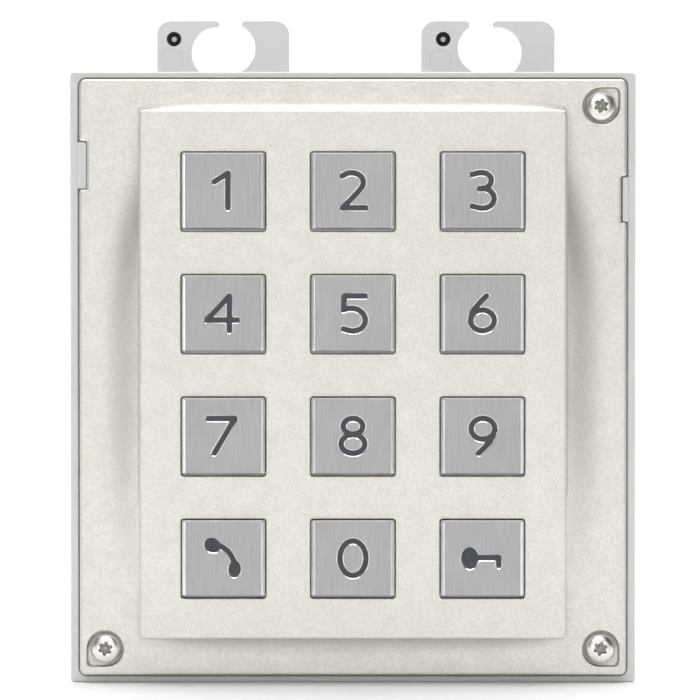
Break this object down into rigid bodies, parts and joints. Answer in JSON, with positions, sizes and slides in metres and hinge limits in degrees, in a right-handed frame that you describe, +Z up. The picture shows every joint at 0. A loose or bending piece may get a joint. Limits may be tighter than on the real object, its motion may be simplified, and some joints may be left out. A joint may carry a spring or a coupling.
{
  "type": "keypad access reader",
  "caption": "Keypad module for a door station: cast plate with a raised panel, engraved push keys on a silicone mat, and a plastic rear tray with hook ears.",
  "frame": {"origin": "centre of the flat rear face of the plastic housing, seen from behind, midway across its width and its height without the ears", "axes": "the front of the keypad faces -Y, +X is to the right seen from the front, +Z is up"},
  "size_m": [0.0964, 0.0222, 0.1133],
  "materials": {
    "cast_nickel": "satin nickel-plated die casting with a fine grain",
    "satin_steel": "brushed satin",
    "bright_screw": "bright nickel-plated",
    "legend_resin": "dark translucent resin fill",
    "grey_plastic": "fine moulded texture",
    "black_rubber": "smooth",
    "silicone": "translucent moulded silicone",
    "carbon_rubber": "carbon-filled",
    "board_laminate": "green solder resist",
    "led_resin": "clear epoxy",
    "socket_plastic": "natural nylon",
    "chip_plastic": "moulded epoxy"
  },
  "bodies": {
    "module": {"front_plate": "cast_nickel", "rear_housing": "grey_plastic", "perimeter_seal": "black_rubber", "keypad_mat": "silicone", "circuit_board": "board_laminate", "corner_screw_top_right": "bright_screw", "corner_screw_bottom_left": "bright_screw", "corner_screw_bottom_right": "bright_screw", "board_screw_top_left": "bright_screw", "board_screw_top_right": "bright_screw", "board_screw_bottom_left": "bright_screw", "board_screw_bottom_right": "bright_screw", "backlight_led_1": "led_resin", "backlight_led_2": "led_resin", "backlight_led_3": "led_resin", "backlight_led_4": "led_resin", "backlight_led_5": "led_resin", "backlight_led_6": "led_resin", "backlight_led_7": "led_resin", "backlight_led_8": "led_resin", "bus_socket_left": "socket_plastic", "bus_socket_right": "socket_plastic", "microcontroller_chip": "chip_plastic", "bus_transceiver_chip": "chip_plastic"},
    "key_1_body": {"key_1": "satin_steel", "legend_1": "legend_resin", "contact_pill_1": "carbon_rubber"},
    "key_2_body": {"key_2": "satin_steel", "legend_2": "legend_resin", "contact_pill_2": "carbon_rubber"},
    "key_3_body": {"key_3": "satin_steel", "legend_3": "legend_resin", "contact_pill_3": "carbon_rubber"},
    "key_4_body": {"key_4": "satin_steel", "legend_4": "legend_resin", "contact_pill_4": "carbon_rubber"},
    "key_5_body": {"key_5": "satin_steel", "legend_5": "legend_resin", "contact_pill_5": "carbon_rubber"},
    "key_6_body": {"key_6": "satin_steel", "legend_6": "legend_resin", "contact_pill_6": "carbon_rubber"},
    "key_7_body": {"key_7": "satin_steel", "legend_7": "legend_resin", "contact_pill_7": "carbon_rubber"},
    "key_8_body": {"key_8": "satin_steel", "legend_8": "legend_resin", "contact_pill_8": "carbon_rubber"},
    "key_9_body": {"key_9": "satin_steel", "legend_9": "legend_resin", "contact_pill_9": "carbon_rubber"},
    "key_call_body": {"key_call": "satin_steel", "legend_call": "legend_resin", "contact_pill_call": "carbon_rubber"},
    "key_0_body": {"key_0": "satin_steel", "legend_0": "legend_resin", "contact_pill_0": "carbon_rubber"},
    "key_unlock_body": {"key_unlock": "satin_steel", "legend_unlock": "legend_resin", "contact_pill_unlock": "carbon_rubber"}
  },
  "joints": [
    {"name": "key_1_press", "type": "slide", "parent": "module", "child": "key_1_body", "axis": [0, 1, 0], "range_m": [0, 0.0012], "stiffness_N_per_m": 1250, "deforming": ["keypad_mat"]},
    {"name": "key_2_press", "type": "slide", "parent": "module", "child": "key_2_body", "axis": [0, 1, 0], "range_m": [0, 0.0012], "stiffness_N_per_m": 1250, "deforming": ["keypad_mat"]},
    {"name": "key_3_press", "type": "slide", "parent": "module", "child": "key_3_body", "axis": [0, 1, 0], "range_m": [0, 0.0012], "stiffness_N_per_m": 1250, "deforming": ["keypad_mat"]},
    {"name": "key_4_press", "type": "slide", "parent": "module", "child": "key_4_body", "axis": [0, 1, 0], "range_m": [0, 0.0012], "stiffness_N_per_m": 1250, "deforming": ["keypad_mat"]},
    {"name": "key_5_press", "type": "slide", "parent": "module", "child": "key_5_body", "axis": [0, 1, 0], "range_m": [0, 0.0012], "stiffness_N_per_m": 1250, "deforming": ["keypad_mat"]},
    {"name": "key_6_press", "type": "slide", "parent": "module", "child": "key_6_body", "axis": [0, 1, 0], "range_m": [0, 0.0012], "stiffness_N_per_m": 1250, "deforming": ["keypad_mat"]},
    {"name": "key_7_press", "type": "slide", "parent": "module", "child": "key_7_body", "axis": [0, 1, 0], "range_m": [0, 0.0012], "stiffness_N_per_m": 1250, "deforming": ["keypad_mat"]},
    {"name": "key_8_press", "type": "slide", "parent": "module", "child": "key_8_body", "axis": [0, 1, 0], "range_m": [0, 0.0012], "stiffness_N_per_m": 1250, "deforming": ["keypad_mat"]},
    {"name": "key_9_press", "type": "slide", "parent": "module", "child": "key_9_body", "axis": [0, 1, 0], "range_m": [0, 0.0012], "stiffness_N_per_m": 1250, "deforming": ["keypad_mat"]},
    {"name": "key_call_press", "type": "slide", "parent": "module", "child": "key_call_body", "axis": [0, 1, 0], "range_m": [0, 0.0012], "stiffness_N_per_m": 1250, "deforming": ["keypad_mat"]},
    {"name": "key_0_press", "type": "slide", "parent": "module", "child": "key_0_body", "axis": [0, 1, 0], "range_m": [0, 0.0012], "stiffness_N_per_m": 1250, "deforming": ["keypad_mat"]},
    {"name": "key_unlock_press", "type": "slide", "parent": "module", "child": "key_unlock_body", "axis": [0, 1, 0], "range_m": [0, 0.0012], "stiffness_N_per_m": 1250, "deforming": ["keypad_mat"]}
  ]
}
